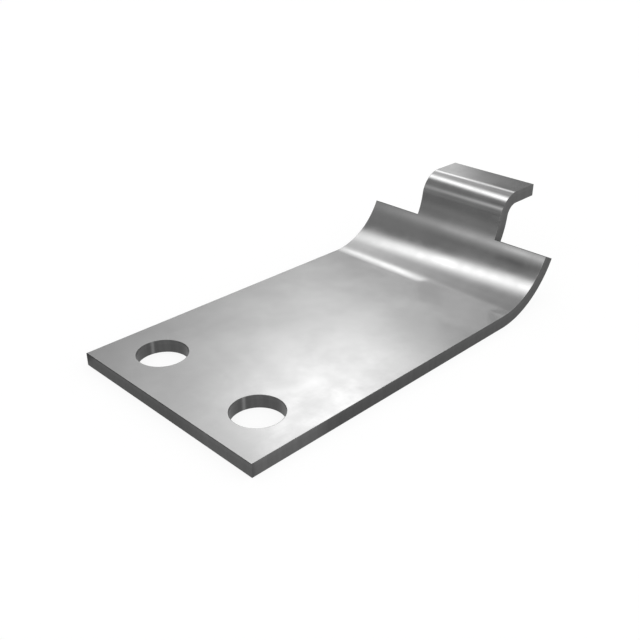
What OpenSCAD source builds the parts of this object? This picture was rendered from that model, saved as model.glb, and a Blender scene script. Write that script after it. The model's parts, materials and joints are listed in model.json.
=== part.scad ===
// Tube clip: one strip of steel plate, blanked, pierced with two bolt holes and press formed.
// The flat plate runs on into a saddle that cups a tube from below and from one side. Past the
// saddle the strip narrows to a tongue, which bends back on itself into a level hook lip.
// +X runs along the strip to the hook, +Y across it and +Z up. The origin lies midway between
// the two bolt holes, on the underside.

/* [Plate] */
// Thickness of the steel plate
sheet_t = 4; // [2:0.5:5]
// Width of the flat plate and of the saddle
plate_w = 70; // [60:1:120]
// Length of the flat plate, from its square end to the start of the saddle
plate_l = 100; // [60:1:200]

/* [Bolt holes] */
// Diameter of the two bolt holes
hole_d = 14.5; // [5:0.5:18]
// Distance between the centres of the two bolt holes
hole_pitch = 40; // [24:1:46]
// Distance from the square end to the centres of the bolt holes
hole_edge = 15; // [12:1:28]

/* [Saddle] */
// Radius of the hollow that the tube lies in
saddle_r = 23; // [15:0.5:40]
// Angle of saddle at full width, from the flat plate round to the shoulders
shoulder_angle = 64.5; // [40:0.5:70]

/* [Hook] */
// Width of the tongue and of the hook lip
tongue_w = 32; // [16:1:50]
// Radius inside the reverse bend, on the underside of the strip
hook_r = 4; // [2:0.5:8]
// Flat length of the hook lip, past the reverse bend
lip_l = 9.75; // [4:0.25:30]

/* [Hidden] */
$fn = 96;
// How far a cutter runs past the metal that it cuts
past = 2;
// The saddle bend and the reverse bend meet where they touch, on the line of their two centres
centres_apart = saddle_r + sheet_t + hook_r;
// The saddle is bent about the axis of the tube
saddle_centre = [plate_l - hole_edge, sheet_t + saddle_r];
// The underside of the lip is level with the axis of the tube, so the hook's centre lies below
hook_drop = hook_r;
hook_angle = acos(hook_drop / centres_apart);
hook_shift = [centres_apart * sin(hook_angle), -hook_drop];
// Radius about the axis of the tube that holds the whole hook
hook_reach = centres_apart + hook_r + sheet_t + lip_l + past;

// Moves its children by v in two steps, since the last digits of one long step are rounded off
module place(v) {
    step = [for (d = v) round(d * 1000) / 1000];
    translate(step)
        translate(v - step)
            children();
}

// One quarter of a bend seen from the side, about the origin: inner radius r, on the given sides
module quarter_bend(r, side_x, side_y) {
    outer = r + sheet_t;
    intersection() {
        difference() {
            circle(outer);
            circle(r);
        }
        translate([min(side_x, 0) * outer, min(side_y, 0) * outer])
            square(outer);
    }
}

// All that lies above the line through the centres of both bends, about the saddle's centre
module above_bend_line() {
    along = hook_reach * [sin(hook_angle), -cos(hook_angle)];
    up = hook_reach * [cos(hook_angle), sin(hook_angle)];
    polygon([-along, along, along + up, up - along]);
}

// Side view of the formed strip: plate, saddle, tongue, reverse bend and lip
module strip_profile() {
    translate([-hole_edge, 0])
        square([plate_l, sheet_t]);
    translate(saddle_centre) {
        difference() {
            quarter_bend(saddle_r, 1, -1);
            above_bend_line();
        }
        intersection() {
            place(hook_shift)
                quarter_bend(hook_r, -1, 1);
            above_bend_line();
        }
        place(hook_shift)
            translate([0, hook_r])
                square([lip_l, sheet_t]);
    }
}

// The strip at its full width, from end to end
module full_strip() {
    rotate([90, 0, 0])
        linear_extrude(plate_w, center = true)
            strip_profile();
}

// What is cropped at both sides of the tongue, past a cut square to the strip at the shoulders
module shoulder_crops() {
    crop_w = (plate_w - tongue_w) / 2 + past;
    for (side = [-1, 1])
        translate([saddle_centre[0], side * (tongue_w + crop_w) / 2, saddle_centre[1]])
            rotate([0, -shoulder_angle, 0])
                translate([0, -crop_w / 2, -hook_reach])
                    cube([hook_reach, crop_w, 2 * hook_reach]);
}

// Two pierced holes, side by side at the square end
module bolt_holes() {
    for (side = [-1, 1])
        translate([0, side * hole_pitch / 2, -past])
            cylinder(d = hole_d, h = sheet_t + 2 * past);
}

// The clip, one piece
module clip() {
    color([0.66, 0.67, 0.68])
        difference() {
            full_strip();
            shoulder_crops();
            bolt_holes();
        }
}

clip();
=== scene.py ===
import json
import math

import bpy
import numpy as np
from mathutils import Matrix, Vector


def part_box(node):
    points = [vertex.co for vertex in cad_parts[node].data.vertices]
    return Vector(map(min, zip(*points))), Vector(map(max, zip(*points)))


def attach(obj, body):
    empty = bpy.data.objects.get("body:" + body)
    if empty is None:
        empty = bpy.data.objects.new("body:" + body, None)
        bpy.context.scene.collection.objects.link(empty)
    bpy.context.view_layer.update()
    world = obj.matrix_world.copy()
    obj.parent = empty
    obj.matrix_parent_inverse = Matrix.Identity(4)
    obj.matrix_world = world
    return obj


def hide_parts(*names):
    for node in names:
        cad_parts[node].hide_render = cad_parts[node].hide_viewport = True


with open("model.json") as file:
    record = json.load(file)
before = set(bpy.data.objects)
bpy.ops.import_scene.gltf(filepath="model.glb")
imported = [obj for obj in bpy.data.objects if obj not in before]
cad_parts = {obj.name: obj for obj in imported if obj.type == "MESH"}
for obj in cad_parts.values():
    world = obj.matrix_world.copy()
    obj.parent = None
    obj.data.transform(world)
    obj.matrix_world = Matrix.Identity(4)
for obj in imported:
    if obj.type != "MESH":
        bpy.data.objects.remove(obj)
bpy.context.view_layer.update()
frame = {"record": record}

# The clip
# One strip of 4 mm bright rolled steel plate, pierced with two bolt holes and cropped on both sides
# of the tongue. A press then bends the saddle that cups the tube and, the other way, the hook at
# its end. It is bare steel with dull sheared edges.
mounts = {mount["name"]: mount for mount in frame["record"]["mounts"]}
low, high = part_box("clip")
sheet_t = mounts["plate_top"]["pos_m"][2]
plate_w = high[1] - low[1]
hole_r = mounts["bolt_holes"]["dims"]["hole_r_mm"] / 1000
hole_y = mounts["bolt_holes"]["dims"]["spacing_y_mm"] / 2000
saddle_r = mounts["saddle"]["dims"]["r_mm"] / 1000
saddle_x = mounts["saddle"]["pos_m"][0]
# The reverse bend's inner radius, the tongue's width and the saddle angle where the strip narrows
hook_r = 0.004
tongue_w = 0.032
shoulder_angle = math.radians(64.5)
# Radius that shearing and handling leave on every edge
edge_r = 0.00015

# Both bends touch on the line of their centres, and the lip's underside is level with the tube's axis
hook_outer_r = hook_r + sheet_t
hook_angle = math.acos(hook_r / (saddle_r + hook_outer_r))
hook_x = saddle_x + (saddle_r + hook_outer_r) * math.sin(hook_angle)

# Lengths along the upper face, from the square end to each change of form
hole_at = -low[0]
saddle_at = saddle_x - low[0]
shoulder_at = saddle_at + saddle_r * shoulder_angle
hook_at = saddle_at + saddle_r * hook_angle
lip_at = hook_at + hook_outer_r * hook_angle
strip_end = lip_at + high[0] - hook_x


def formed(place, facing):
    """Bends the flat strip. A place is (length along the upper face, width, depth below it). The
    slope grows by the arc angle in the saddle and shrinks by the arc angle in the reverse bend,
    and depth is laid off square to the slope. facing turns by the slope into the normal."""
    length, width, depth = place[..., 0], place[..., 1], place[..., 2]
    up = np.clip((length - saddle_at) / saddle_r, 0, hook_angle)
    over = np.clip((length - hook_at) / hook_outer_r, 0, hook_angle)
    slope = up - over
    flat_run = np.minimum(length, saddle_at) + np.maximum(length - lip_at, 0)
    hook_run = math.sin(hook_angle) - np.sin(hook_angle - over)
    hook_rise = np.cos(hook_angle - over) - math.cos(hook_angle)
    x = low[0] + flat_run + saddle_r * np.sin(up) + hook_outer_r * hook_run
    z = sheet_t + saddle_r * (1 - np.cos(up)) + hook_outer_r * hook_rise
    point = np.stack([x + depth * np.sin(slope), width, z - depth * np.cos(slope)], -1)
    along = facing[..., 0] * np.cos(slope) + facing[..., 2] * np.sin(slope)
    raised = facing[..., 0] * np.sin(slope) - facing[..., 2] * np.cos(slope)
    return point, np.stack([along, facing[..., 1], raised], -1)


def spread(start, end, step):
    """Even places from start to end, at most a step apart."""
    return np.linspace(start, end, max(2, math.ceil((end - start) / step) + 1))


def merged(*runs):
    """All the places of several runs in order, each once."""
    return np.unique(np.round(np.concatenate(runs), 9))


# Grid lines of the flat strip: fanned round the holes and close together in the bends. worn is the
# width of the rubbed band along each edge, which gets a line of its own.
worn = 0.0008
collar = 0.011
# Slack in finding grid lines by their place
hair = 1e-7
fan = collar * np.tan(np.radians(np.linspace(-45, 45, 25)))
plate_side = plate_w / 2 - edge_r
tongue_side = tongue_w / 2 - edge_r
length_lines = merged(
    [edge_r],
    spread(edge_r + worn, hole_at - collar, 0.002),
    hole_at + fan,
    spread(hole_at + collar, saddle_at, 0.005),
    spread(saddle_at, shoulder_at - edge_r - worn, 0.0004),
    spread(shoulder_at - edge_r, hook_at, 0.0004),
    spread(hook_at, lip_at, 0.0003),
    spread(lip_at, strip_end - edge_r - worn, 0.002),
    [strip_end - edge_r],
)
width_lines = merged(
    [-plate_side, worn - plate_side, -tongue_side, worn - tongue_side],
    [tongue_side - worn, tongue_side, plate_side - worn, plate_side],
    fan - hole_y,
    fan + hole_y,
    spread(collar - hole_y, hole_y - collar, 0.004),
)

patches = []


def add_patch(place, facing, chart, sheared, turned=False, keep=None):
    """Keeps one grid of quads: the place, facing and texture place of each grid point, whether
    the patch is sheared, whether its quads are turned over, and which of them stay."""
    rows, columns = place.shape[:2]
    corner = np.arange(rows * columns).reshape(rows, columns)
    quads = np.stack([corner[:-1, :-1], corner[1:, :-1], corner[1:, 1:], corner[:-1, 1:]], -1)
    if turned:
        quads = quads[..., ::-1]
    if keep is None:
        keep = np.ones(quads.shape[:2], bool)
    facing = np.broadcast_to(facing, place.shape)
    patches.append((place.reshape(-1, 3), facing.reshape(-1, 3), chart.reshape(-1, 2), quads[keep], sheared))


def add_both_faces(length, width, keep=None):
    """The same grid of length and width on the upper and on the lower face of the strip."""
    chart = np.stack([length, width], -1)
    for depth, up in ((0.0, -1.0), (sheet_t, 1.0)):
        place = np.stack([length, width, np.full_like(length, depth)], -1)
        add_patch(place, np.array([0.0, 0.0, up]), chart, 0, up > 0, keep)


# Profile across a sheared edge from the upper face to the lower: a quarter round, the wall and a
# quarter round, by the angle that the surface has turned
round_steps = 5
edge_turn = np.concatenate([np.linspace(0, 90, round_steps), np.linspace(90, 180, round_steps)])
edge_turn = np.radians(edge_turn)
below_wall = np.arange(2 * round_steps) >= round_steps
edge_out = edge_r * np.sin(edge_turn)
edge_depth = edge_r * (1 - np.cos(edge_turn)) + below_wall * (sheet_t - 2 * edge_r)


def add_edge(stations, outward, along, shift, run, turned):
    """Carries the edge profile past stations on the face's border. A point stands out from its
    station by the profile's reach, and moves along by shift times that reach at a mitre."""
    flat = stations[:, None] + edge_out[:, None] * outward[:, None]
    flat = flat + (shift[:, None] * edge_out)[..., None] * along[:, None]
    depth = np.broadcast_to(edge_depth, flat.shape[:2])
    side = np.sin(edge_turn)[:, None] * outward[:, None]
    down = np.broadcast_to(-np.cos(edge_turn), flat.shape[:2])
    place = np.concatenate([flat, depth[..., None]], -1)
    facing = np.concatenate([side, down[..., None]], -1)
    chart = np.stack([np.broadcast_to(run[:, None], flat.shape[:2]), depth], -1)
    add_patch(place, facing, chart, 1, turned)


# Both faces of the plate, saddle, tongue and lip
length, width = np.meshgrid(length_lines, width_lines, indexing="ij")
cell_length = (length[1:, 1:] + length[:-1, :-1]) / 2
cell_width = np.abs(width[1:, 1:] + width[:-1, :-1]) / 2
on_strip = (cell_length < shoulder_at - edge_r) | (cell_width < tongue_side)
at_hole = (np.abs(cell_length - hole_at) < collar) & (np.abs(cell_width - hole_y) < collar)
add_both_faces(length, width, on_strip & ~at_hole)

# The collar of face round each hole, from the hole's border out to a square, and the pierced wall.
# The texture run of a pierced wall is its bearing times the radius, far from the outline's run.
pierced_run = 1.0
for side in (-1, 1):
    centre = np.array([hole_at, side * hole_y])
    across = length_lines[np.abs(length_lines - centre[0]) < collar + hair]
    upward = width_lines[np.abs(width_lines - centre[1]) < collar + hair]
    square = np.concatenate([
        np.stack([np.full_like(upward, across[0]), upward], -1)[len(upward) // 2::-1],
        np.stack([across, np.full_like(across, upward[0])], -1)[1:],
        np.stack([np.full_like(upward, across[-1]), upward], -1)[1:],
        np.stack([across, np.full_like(across, upward[-1])], -1)[-2::-1],
        np.stack([np.full_like(upward, across[0]), upward], -1)[-2:len(upward) // 2 - 1:-1],
    ])
    bearing = np.unwrap(np.arctan2(square[:, 1] - centre[1], square[:, 0] - centre[0]))
    bearing = bearing - 2 * math.pi * (bearing[0] > 0)
    radial = np.stack([np.cos(bearing), np.sin(bearing)], -1)
    border = centre + (hole_r + edge_r) * radial
    near = worn / np.linalg.norm(square - border, axis=1)
    part = near[:, None] + (1 - near[:, None]) * np.linspace(0, 1, 4)
    part = np.concatenate([np.zeros((len(part), 1)), part], 1)[..., None]
    ring = border[:, None] + part * (square - border)[:, None]
    add_both_faces(ring[..., ::-1, 0], ring[..., ::-1, 1])
    still = np.zeros(len(radial))
    add_edge(border, -radial, radial, still, pierced_run + bearing * hole_r, False)

# The sheared outline, with the metal on the left of each stretch and mitred corners
outline = np.array([
    (0, -plate_w / 2),
    (shoulder_at, -plate_w / 2),
    (shoulder_at, -tongue_w / 2),
    (strip_end, -tongue_w / 2),
    (strip_end, tongue_w / 2),
    (shoulder_at, tongue_w / 2),
    (shoulder_at, plate_w / 2),
    (0, plate_w / 2),
])
stretch = np.roll(outline, -1, 0) - outline
heading = stretch / np.linalg.norm(stretch, axis=1, keepdims=True)
before = np.roll(heading, 1, 0)
outward = np.stack([heading[:, 1], -heading[:, 0]], -1)
border_corner = outline - edge_r * (outward + np.roll(outward, 1, 0))
# 1 at a corner that stands out, -1 at one that goes in
corner_turn = before[:, 0] * heading[:, 1] - before[:, 1] * heading[:, 0]
run_start = np.cumsum(np.abs(stretch).sum(1)) - np.abs(stretch).sum(1)
for k, begin in enumerate(border_corner):
    after = (k + 1) % len(outline)
    axis = int(abs(heading[k, 1]) > 0.5)
    reach = sorted((begin[axis], border_corner[after, axis]))
    lines = (length_lines, width_lines)[axis]
    stops = lines[(lines > reach[0] - hair) & (lines < reach[1] + hair)]
    stops = stops[::int(np.sign(heading[k, axis]))]
    stations = np.tile(begin, (len(stops), 1))
    stations[:, axis] = stops
    shift = np.zeros(len(stops))
    shift[0] = -corner_turn[k]
    shift[-1] = corner_turn[after]
    run = run_start[k] + np.abs(stops - stops[0])
    sideways, forward = (np.tile(step, (len(stops), 1)) for step in (outward[k], heading[k]))
    add_edge(stations, sideways, forward, shift, run, True)


def edge_gap(place):
    """Distance in the flat from each place to the nearest sheared edge: the outline's sides, the
    ends and the hole rims, each as a signed distance, of which the least counts."""
    length, width = place[:, 0], np.abs(place[:, 1])
    to_hole = np.hypot(length - hole_at, width - hole_y) - hole_r
    to_side = np.where(length < shoulder_at - edge_r / 2, plate_w / 2, tongue_w / 2) - width
    to_shoulder = np.hypot(np.maximum(shoulder_at - length, 0), np.maximum(tongue_w / 2 - width, 0))
    past = np.where(length < shoulder_at - edge_r / 2, to_shoulder, 1)
    return np.clip(np.minimum.reduce([length, strip_end - length, to_hole, to_side, past]), 0, 2 * worn)


# One welded mesh, with the exact normal of each surface at every corner of its quads
counts = np.cumsum([0] + [len(patch[0]) for patch in patches])
place, facing, chart = (np.concatenate([patch[k] for patch in patches]) for k in range(3))
quads = np.concatenate([patch[3] + start for patch, start in zip(patches, counts)])
sheared = np.concatenate([np.full(len(patch[3]), patch[4]) for patch in patches])
point, normal = formed(place, facing)
_, first, welded = np.unique(np.round(place, 8), axis=0, return_index=True, return_inverse=True)
welded = welded.reshape(-1)
mesh = bpy.data.meshes.new("formed_strip")
mesh.from_pydata(point[first], [], welded[quads])
mesh.polygons.foreach_set("use_smooth", np.ones(len(quads), bool))
mesh.polygons.foreach_set("material_index", sheared.astype(np.int32))
at_corner = quads.reshape(-1)
chart_layer = mesh.uv_layers.new(name="strip_map")
chart_layer.uv.foreach_set("vector", chart[at_corner].astype(np.float32).ravel())
gap = mesh.attributes.new("edge_gap", "FLOAT", "POINT")
gap.data.foreach_set("value", edge_gap(place[first]).astype(np.float32))
mesh.update()
mesh.normals_split_custom_set(normal[at_corner])
strip = bpy.data.objects.new("formed_strip", mesh)
bpy.context.scene.collection.objects.link(strip)
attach(strip, "root")
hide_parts("clip")


def add_node(tree, kind, *inputs, **settings):
    """One shader node. settings are its own properties, and each of inputs is a socket's name or
    number with a value, or with another node's output to link to it."""
    node = tree.nodes.new("ShaderNode" + kind)
    for name, value in settings.items():
        setattr(node, name, value)
    for socket, value in inputs:
        if isinstance(value, bpy.types.NodeSocket):
            tree.links.new(value, node.inputs[socket])
        else:
            node.inputs[socket].default_value = value
    return node


def calc(tree, operation, *values):
    """The output of a math node on values or sockets, in order."""
    return add_node(tree, "Math", *enumerate(values), operation=operation).outputs[0]


def ramp(tree, value, start, end, low_value=0.0, high_value=1.0):
    """A smooth step of a socket, from low_value at start to high_value at end."""
    ends = (("From Min", start), ("From Max", end), ("To Min", low_value), ("To Max", high_value))
    node = add_node(tree, "MapRange", ("Value", value), *ends, interpolation_type="SMOOTHSTEP")
    return node.outputs["Result"]


def mix(tree, share, first, second):
    """The first value or socket where share is 0, the second where it is 1."""
    return add_node(tree, "Mix", (0, share), (2, first), (3, second), data_type="FLOAT").outputs[0]


def noise(tree, vector, scale, detail=2.0, roughness=0.5):
    """Noise between 0 and 1 on a vector socket."""
    pairs = (("Vector", vector), ("Scale", scale), ("Detail", detail), ("Roughness", roughness))
    return add_node(tree, "TexNoise", *pairs).outputs[0]


def varied(tree, noise_value, least, most):
    """A noise socket spread from least to most. Noise lies mostly between 0.3 and 0.7."""
    return ramp(tree, noise_value, 0.3, 0.7, least, most)


def stretched(tree, vector, scale, turn=0.0):
    """A vector socket scaled along each axis, then turned about Z by an angle in radians."""
    pairs = (("Vector", vector), ("Rotation", (0, 0, turn)), ("Scale", scale))
    return add_node(tree, "Mapping", *pairs).outputs[0]


def new_group(name, inputs, outputs):
    """A node group with named sockets, given as name and kind. Gives the group, what comes into
    it and what goes out of it."""
    group = bpy.data.node_groups.new(name, "ShaderNodeTree")
    for socket, kind in inputs:
        group.interface.new_socket(socket, in_out="INPUT", socket_type="NodeSocket" + kind)
    for socket, kind in outputs:
        group.interface.new_socket(socket, in_out="OUTPUT", socket_type="NodeSocket" + kind)
    return group, group.nodes.new("NodeGroupInput").outputs, group.nodes.new("NodeGroupOutput").inputs


def new_material(name, slot_mesh):
    """A material on a mesh, with its shader and output. Gives its node tree and the shader."""
    material = bpy.data.materials.new(name)
    material.use_nodes = True
    tree = material.node_tree
    tree.nodes.clear()
    shader = add_node(tree, "BsdfPrincipled")
    add_node(tree, "OutputMaterial", ("Surface", shader.outputs[0]))
    slot_mesh.materials.append(material)
    return tree, shader


# Worn edge: metal rubbed bright along an edge, broken up so that it comes and goes
worn_edge, given, made = new_group(
    "worn_edge",
    [("Vector", "Vector"), ("Gap", "Float"), ("Width", "Float")],
    [("Mask", "Float")],
)
broken = varied(worn_edge, noise(worn_edge, given["Vector"], 450, detail=3), 0.35, 1)
reach = calc(worn_edge, "MULTIPLY", given["Width"], broken)
mask = calc(worn_edge, "SUBTRACT", 1, calc(worn_edge, "DIVIDE", given["Gap"], reach))
worn_edge.links.new(calc(worn_edge, "MAXIMUM", mask, 0), made["Mask"])

# Mill grain: the fine lines and pits of rolled or sheared steel, long one way and short the other
mill_grain, given, made = new_group(
    "mill_grain",
    [("Vector", "Vector"), ("Lines", "Vector"), ("Pits", "Float")],
    [("Height", "Float"), ("Tone", "Float")],
)
lined = add_node(mill_grain, "VectorMath", (0, given["Vector"]), (1, given["Lines"]), operation="MULTIPLY")
lines = noise(mill_grain, lined.outputs[0], 1, detail=3)
pits = noise(mill_grain, given["Vector"], given["Pits"], detail=4, roughness=0.6)
line_height = calc(mill_grain, "MULTIPLY", lines, 0.6)
pit_height = calc(mill_grain, "MULTIPLY", pits, 0.4)
mill_grain.links.new(calc(mill_grain, "ADD", line_height, pit_height), made["Height"])
mill_grain.links.new(calc(mill_grain, "MULTIPLY_ADD", lines, 0.3, 0.85), made["Tone"])


def add_group(tree, group, *inputs, **settings):
    """The outputs of a group that is placed in a tree, with inputs and settings as in add_node."""
    return add_node(tree, "Group", *inputs, node_tree=group, **settings).outputs


def bump(tree, distance, height, *under):
    """The normal of a relief of a height socket, distance metres deep, on the relief under it."""
    relief = [("Strength", 1), ("Distance", distance), ("Height", height)]
    relief += [("Normal", normal) for normal in under]
    return add_node(tree, "Bump", *relief).outputs[0]


def toned(tree, colour, tone):
    """A plain colour, made lighter or darker by a tone socket."""
    return add_node(tree, "VectorMath", (0, colour), ("Scale", tone), operation="SCALE").outputs[0]


# Rolled faces: bright, with a cloudy gloss, a faint unevenness and hardly visible mill lines. Along
# the edges they are rubbed a little lighter and duller.
steel_colour = (0.62, 0.62, 0.62)
rolled_roughness = 0.15
tree, rolled = new_material("bright_rolled_steel", mesh)
strip_map = add_node(tree, "UVMap", uv_map="strip_map").outputs[0]
solid = add_node(tree, "TexCoord").outputs["Object"]
to_edge = add_node(tree, "Attribute", attribute_name="edge_gap").outputs["Fac"]
grain = add_group(tree, mill_grain, ("Vector", strip_map), ("Lines", (60, 3500, 1)), ("Pits", 2500))
rubbed = add_group(tree, worn_edge, ("Vector", solid), ("Gap", to_edge), ("Width", 0.0006))["Mask"]
cloudy = varied(tree, noise(tree, solid, 60, detail=4, roughness=0.55), 0.95, 1.05)
tone = calc(tree, "MULTIPLY", cloudy, ramp(tree, grain["Tone"], 0.85, 1.15, 0.98, 1.02))
tone = calc(tree, "MULTIPLY_ADD", rubbed, 0.18, tone)
tree.links.new(toned(tree, steel_colour, tone), rolled.inputs["Base Color"])
rolled.inputs["Metallic"].default_value = 1
gloss_clouds = noise(tree, solid, 95, detail=5, roughness=0.6)
gloss = varied(tree, gloss_clouds, rolled_roughness - 0.03, rolled_roughness + 0.05)
gloss = calc(tree, "MULTIPLY_ADD", rubbed, 0.1, gloss)
tree.links.new(gloss, rolled.inputs["Roughness"])
uneven = bump(tree, 0.00004, noise(tree, solid, 45))
peel = bump(tree, 0.0000015, noise(tree, solid, 700, detail=3), uneven)
tree.links.new(bump(tree, 0.0000006, grain["Height"], peel), rolled.inputs["Normal"])

# Sheared edges: dull and drawn in fine lines through the thickness. Their very dark colour is partly
# painted shade, in place of dark surroundings for them to mirror. The upper third is burnished by
# the punch and the rest is torn. A light line in each hole is a painted reflection.
sheared_colour_with_shade = (0.09, 0.09, 0.09)
paler_mirrored = 3.9
reflection_line_bearing = math.radians(78)
reflection_line_run = pierced_run + reflection_line_bearing * hole_r
front_corner = (low[0], low[1], 0)
tree, torn = new_material("sheared_steel", mesh)
strip_map = add_node(tree, "UVMap", uv_map="strip_map").outputs[0]
solid = add_node(tree, "TexCoord").outputs["Object"]
parts = add_node(tree, "SeparateXYZ", (0, strip_map)).outputs
grain = add_group(tree, mill_grain, ("Vector", strip_map), ("Lines", (2200, 90, 1)), ("Pits", 3000))
arris = calc(tree, "MINIMUM", parts["Y"], calc(tree, "SUBTRACT", sheet_t, parts["Y"]))
rubbed = add_group(tree, worn_edge, ("Vector", solid), ("Gap", arris), ("Width", 0.0003))["Mask"]
ragged = noise(tree, stretched(tree, strip_map, (900, 0, 1)), 1, detail=3)
ragged = calc(tree, "MULTIPLY_ADD", ragged, 0.0012, parts["Y"])
fracture = ramp(tree, ragged, 0.0016, 0.0021)
# Painted reflection: a light line down each hole's wall at one bearing
from_reflection_line = calc(tree, "ABSOLUTE", calc(tree, "SUBTRACT", parts["X"], reflection_line_run))
painted_reflection_line = ramp(tree, from_reflection_line, 0.0001, 0.0008, 1, 0)
# The drawn bands are strong in the pierced walls and half as strong along the outline
pierced = ramp(tree, parts["X"], 0.7, 0.8)
broad = varied(tree, noise(tree, stretched(tree, strip_map, (420, 0, 1)), 1), -0.14, 0.14)
narrow = ramp(tree, grain["Tone"], 0.9, 1.1, -0.08, 0.08)
bands = calc(tree, "ADD", broad, narrow)
bands = calc(tree, "MULTIPLY", bands, calc(tree, "MULTIPLY_ADD", pierced, 0.5, 0.5))
tone = calc(tree, "MULTIPLY_ADD", fracture, -0.07, 1.03)
tone = calc(tree, "MULTIPLY", calc(tree, "ADD", bands, 1), tone)
# Painted light and shade on the outline: lighter at the front corner and high up, darker low down
# and at the square end. The pierced walls get an even lift instead.
from_corner = add_node(tree, "VectorMath", (0, solid), (1, front_corner), operation="DISTANCE")
painted_corner_light = ramp(tree, from_corner.outputs["Value"], 0.016, 0.03, 1.3, 0.76)
spot = add_node(tree, "SeparateXYZ", (0, solid)).outputs
raised = ramp(tree, spot["Z"], 0.015, 0.024, 1, 1.42)
painted_end_shade = ramp(tree, spot["X"], low[0] + 0.0003, low[0] + 0.0015, 0.74, 1)
painted_light_and_shade = calc(tree, "MULTIPLY", calc(tree, "MULTIPLY", painted_corner_light, raised), painted_end_shade)
tone = calc(tree, "MULTIPLY", tone, mix(tree, pierced, painted_light_and_shade, 1.12))
tone = calc(tree, "MULTIPLY_ADD", painted_reflection_line, 0.9, tone)
tone = calc(tree, "MULTIPLY_ADD", rubbed, 0.5, tone)
# The rolled faces mirror these edges paler than they are, as in the photo
mirrored = add_node(tree, "LightPath").outputs["Is Glossy Ray"]
tone = calc(tree, "MULTIPLY", tone, calc(tree, "MULTIPLY_ADD", mirrored, paler_mirrored, 1))
tree.links.new(toned(tree, sheared_colour_with_shade, tone), torn.inputs["Base Color"])
torn.inputs["Metallic"].default_value = 1
tree.links.new(calc(tree, "MULTIPLY_ADD", fracture, 0.03, 0.37), torn.inputs["Roughness"])
tree.links.new(bump(tree, 0.000012, grain["Height"]), torn.inputs["Normal"])


# The floor
# A sheet of white paper that the clip lies on. It shines a little by itself towards the camera and
# in reflections, so that it is white there and still keeps a pale shadow. From below it is clear, so
# that the clip's underside can be looked at.
paper_tone = 0.19
paper_glow = 0.85
twice_mirrored_glow = 0.65
# It lies a hair below the clip, and reaches this far from it
paper_gap = 0.0001
floor_half = 8.0
# Bearing of the dim side's middle, and how far off it the room is still dim and is lit again
dim_side = math.radians(147)
dim_within = math.radians(13)
lit_beyond = math.radians(22)

# Lit side: 1 all round but for a soft wedge toward the dim side of the room, which the tongue
# mirrors. The vector points from the tongue.
lit_side, given, made = new_group("lit_side", [("Vector", "Vector")], [("Mask", "Float")])
parts = add_node(lit_side, "SeparateXYZ", (0, given["Vector"])).outputs
off_side = calc(lit_side, "SUBTRACT", calc(lit_side, "ARCTAN2", parts["Y"], parts["X"]), dim_side)
off_side = calc(lit_side, "ABSOLUTE", calc(lit_side, "WRAP", off_side, math.pi, -math.pi))
lit_side.links.new(ramp(lit_side, off_side, dim_within, lit_beyond), made["Mask"])

floor_mesh = bpy.data.meshes.new("floor")
sides = np.array([-floor_half, floor_half])
corners = np.stack([sides[[0, 1, 1, 0]], sides[[0, 0, 1, 1]], np.full(4, -paper_gap)], -1)
floor_mesh.from_pydata(corners, [], [(0, 1, 2, 3)])
floor = bpy.data.objects.new("floor", floor_mesh)
bpy.context.scene.collection.objects.link(floor)
material = bpy.data.materials.new("white_paper")
material.use_nodes = True
floor_mesh.materials.append(material)
tree = material.node_tree
tree.nodes.clear()
light_path = add_node(tree, "LightPath").outputs
mirrored = calc(tree, "MAXIMUM", light_path["Is Glossy Ray"], light_path["Is Transmission Ray"])
solid = add_node(tree, "TexCoord").outputs["Object"]
from_tongue = add_node(tree, "VectorMath", (0, solid), (1, (hook_x, 0, 0)), operation="SUBTRACT").outputs[0]
lit = add_group(tree, lit_side, ("Vector", from_tongue))["Mask"]
# The paper under the clip and beside the holes is lit all the same
across = add_node(tree, "SeparateXYZ", (0, solid)).outputs["Y"]
lit = calc(tree, "MAXIMUM", lit, ramp(tree, across, plate_w / 2, plate_w / 2 + 0.006, 1, 0))
# In a reflection of a reflection, as of the lip's underside, the paper is as dim as the room
lit = calc(tree, "MULTIPLY", lit, ramp(tree, light_path["Ray Depth"], 1.4, 1.6, 1, twice_mirrored_glow))
seen = calc(tree, "MAXIMUM", light_path["Is Camera Ray"], calc(tree, "MULTIPLY", mirrored, lit))
glow = add_node(tree, "Emission", ("Strength", calc(tree, "MULTIPLY", seen, paper_glow)))
paper = add_node(tree, "BsdfDiffuse", ("Color", (paper_tone, paper_tone, paper_tone, 1)))
both = add_node(tree, "AddShader", (0, paper.outputs[0]), (1, glow.outputs[0]))
behind = add_node(tree, "NewGeometry").outputs["Backfacing"]
clear = add_node(tree, "BsdfTransparent").outputs[0]
shown = add_node(tree, "MixShader", (0, behind), (1, both.outputs[0]), (2, clear))
add_node(tree, "OutputMaterial", ("Surface", shown.outputs[0]))


# The studio
# A pale tent stands on the camera's side. Across from it the room is dimmer, with a lamp straight
# ahead, a long panel overhead and some soft patches of light and shade. The polished faces show
# them as highlights.
world = bpy.data.worlds.new("studio")
bpy.context.scene.world = world
world.use_nodes = True
tree = world.node_tree
tree.nodes.clear()


def toward(azimuth, elevation):
    """Unit direction, with azimuth from +X toward +Y and elevation above the horizon, in degrees."""
    a, e = math.radians(azimuth), math.radians(elevation)
    return Vector((math.cos(a) * math.cos(e), math.sin(a) * math.cos(e), math.sin(e)))


# Soft panel: a rectangle of light in the sky with soft edges, seen from its own centre
soft_panel, given, made = new_group(
    "soft_panel",
    [("Direction", "Vector"), ("Centre", "Vector"), ("Across", "Vector"), ("Up", "Vector"),
     ("Half width", "Float"), ("Half height", "Float"), ("Softness", "Float"), ("Strength", "Float")],
    [("Light", "Float")],
)


def dot(tree, a, b):
    """The dot product of two vectors or vector sockets."""
    return add_node(tree, "VectorMath", (0, a), (1, b), operation="DOT_PRODUCT").outputs["Value"]


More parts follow.
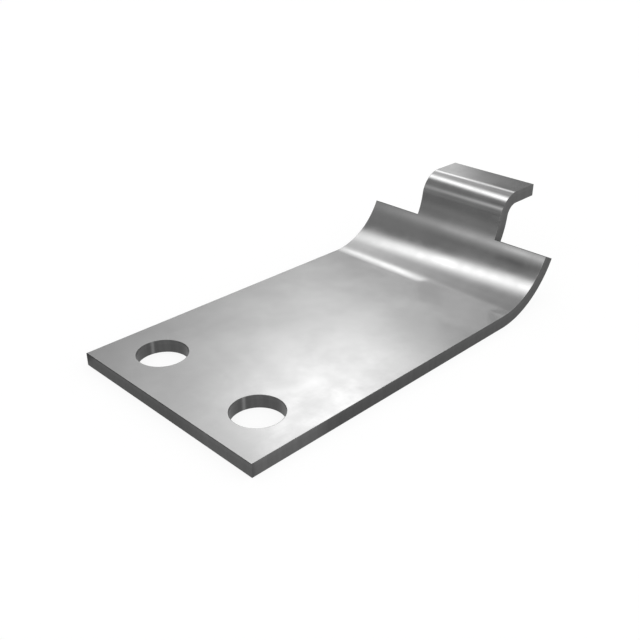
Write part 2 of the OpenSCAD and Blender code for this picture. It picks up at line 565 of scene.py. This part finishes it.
ahead = dot(soft_panel, given["Direction"], given["Centre"])
light = ramp(soft_panel, ahead, 0.0, 0.1, 0.0, 1.0)
light = calc(soft_panel, "MULTIPLY", light, given["Strength"])
for axis, half in (("Across", "Half width"), ("Up", "Half height")):
    sideways = dot(soft_panel, given["Direction"], given[axis])
    offset = calc(soft_panel, "DIVIDE", sideways, calc(soft_panel, "MAXIMUM", ahead, 0.01))
    inside = calc(soft_panel, "SUBTRACT", given[half], calc(soft_panel, "ABSOLUTE", offset))
    inside = calc(soft_panel, "DIVIDE", inside, given["Softness"])
    light = calc(soft_panel, "MULTIPLY", light, ramp(soft_panel, inside, -1, 1))
soft_panel.links.new(light, made["Light"])

direction = add_node(tree, "TexCoord").outputs["Generated"]


def panel(name, azimuth, elevation, roll, width, height, softness, strength):
    """The light of one soft panel of the world, with its name on its node. All its sizes are in
    degrees of the sky, and a panel of negative strength is a shade."""
    centre = toward(azimuth, elevation)
    flat = toward(azimuth + 90, 0)
    rise = centre.cross(flat)
    lean = math.radians(roll)
    return add_group(
        tree,
        soft_panel,
        ("Direction", direction),
        ("Centre", centre),
        ("Across", flat * math.cos(lean) + rise * math.sin(lean)),
        ("Up", rise * math.cos(lean) - flat * math.sin(lean)),
        ("Half width", math.tan(math.radians(width / 2))),
        ("Half height", math.tan(math.radians(height / 2))),
        ("Softness", math.tan(math.radians(softness))),
        ("Strength", strength),
        label=name,
    )["Light"]


# The room's own light, and what each patch adds to it. The camera looks toward an azimuth of 45.
# The room's level and average and the first nine patches were fitted by a separate program to the
# brightness of the steel in the photo, then rounded. The walls and the tent were set one by one.
room = 0.23
for patch in (
    panel("broad glow", 56, 38.5, roll=55, width=38.5, height=11.5, softness=13.5, strength=0.7),
    panel("shade on the left", 152, 44, roll=-80, width=27, height=18.5, softness=5.5, strength=-0.2),
    panel("lamp on the left", 149.5, 28, roll=15, width=2, height=1.7, softness=14, strength=2.5),
    panel("shade low on the left", 164, -1, roll=-56, width=24, height=22.5, softness=4, strength=-0.07),
    panel("upright strip", 36, 14, roll=-4, width=3, height=21.5, softness=2, strength=0.66),
    panel("main lamp", 42, 34, roll=-5.5, width=6, height=1.3, softness=10, strength=4.25),
    panel("core of the main lamp", 47, 37, roll=0, width=2, height=2, softness=3, strength=1.9),
    panel("overhead panel", 104, 60, roll=17, width=31, height=0.7, softness=11, strength=3.7),
    panel("rim of the overhead panel", 91.5, 55, roll=18.5, width=44, height=2, softness=3, strength=0.42),
    panel("wall on the right", -35, 22, roll=0, width=76, height=50, softness=8, strength=0.7),
    panel("wall on the left", 99, 15, roll=0, width=38, height=26, softness=6, strength=0.6),
):
    room = calc(tree, "ADD", room, patch)

# Soft clouds in the room's light, and the tent before it, whole up to 53 degrees from its middle and
# gone at 77
tent_level = 1.08
wisps = noise(tree, stretched(tree, direction, (7, 7, 13), turn=1.5), 1, detail=5, roughness=0.6)
room = calc(tree, "MULTIPLY", room, varied(tree, wisps, 0.9, 1.1))
toward_tent = dot(tree, direction, toward(245, 38))
tent = ramp(tree, toward_tent, math.cos(math.radians(77)), math.cos(math.radians(53)))
light = mix(tree, tent, room, tent_level)

# Light that has already met two surfaces comes evenly from the whole room
room_average = 0.875
light_path = add_node(tree, "LightPath").outputs
spent = ramp(tree, light_path["Ray Depth"], 2.4, 2.6)
light = mix(tree, spent, light, room_average)

# Beyond the floor it is as white as the floor: to the camera, and low down in reflections
mirrored = calc(tree, "MAXIMUM", light_path["Is Glossy Ray"], light_path["Is Transmission Ray"])
height = add_node(tree, "SeparateXYZ", (0, direction)).outputs["Z"]
lit = add_group(tree, lit_side, ("Vector", direction))["Mask"]
low_down = calc(tree, "MULTIPLY", ramp(tree, height, 0.05, 0.15, 1, 0), lit)
white = calc(tree, "MAXIMUM", light_path["Is Camera Ray"], calc(tree, "MULTIPLY", mirrored, low_down))
light = mix(tree, white, light, 1.0)
background = add_node(tree, "Background", ("Color", (1, 1, 1, 1)), ("Strength", light))
add_node(tree, "OutputWorld", ("Surface", background.outputs[0]))

# The camera
# It stands off a corner of the square end and looks across the strip at 45 degrees, and down at 28,
# as in the photo. Its place and its lens were worked out from the clip's edges there.
camera_target = Vector((0.043427, 0.001425, 0.004880))
camera_azimuth = math.radians(-45.015)
camera_elevation = math.radians(28.479)
camera_distance = 0.249605
back = Vector((
    math.sin(camera_azimuth) * math.cos(camera_elevation),
    -math.cos(camera_azimuth) * math.cos(camera_elevation),
    math.sin(camera_elevation),
))
camera_data = bpy.data.cameras.new("camera")
camera_data.sensor_width = 36
camera_data.lens = 47.401
camera_data.clip_start = 0.01
camera_data.clip_end = 50
camera = bpy.data.objects.new("camera", camera_data)
camera.location = camera_target + back * camera_distance
camera.rotation_mode = "QUATERNION"
camera.rotation_quaternion = (-back).to_track_quat("-Z", "Y")
bpy.context.scene.collection.objects.link(camera)
bpy.context.scene.camera = camera
bpy.context.scene.view_settings.view_transform = "Standard"
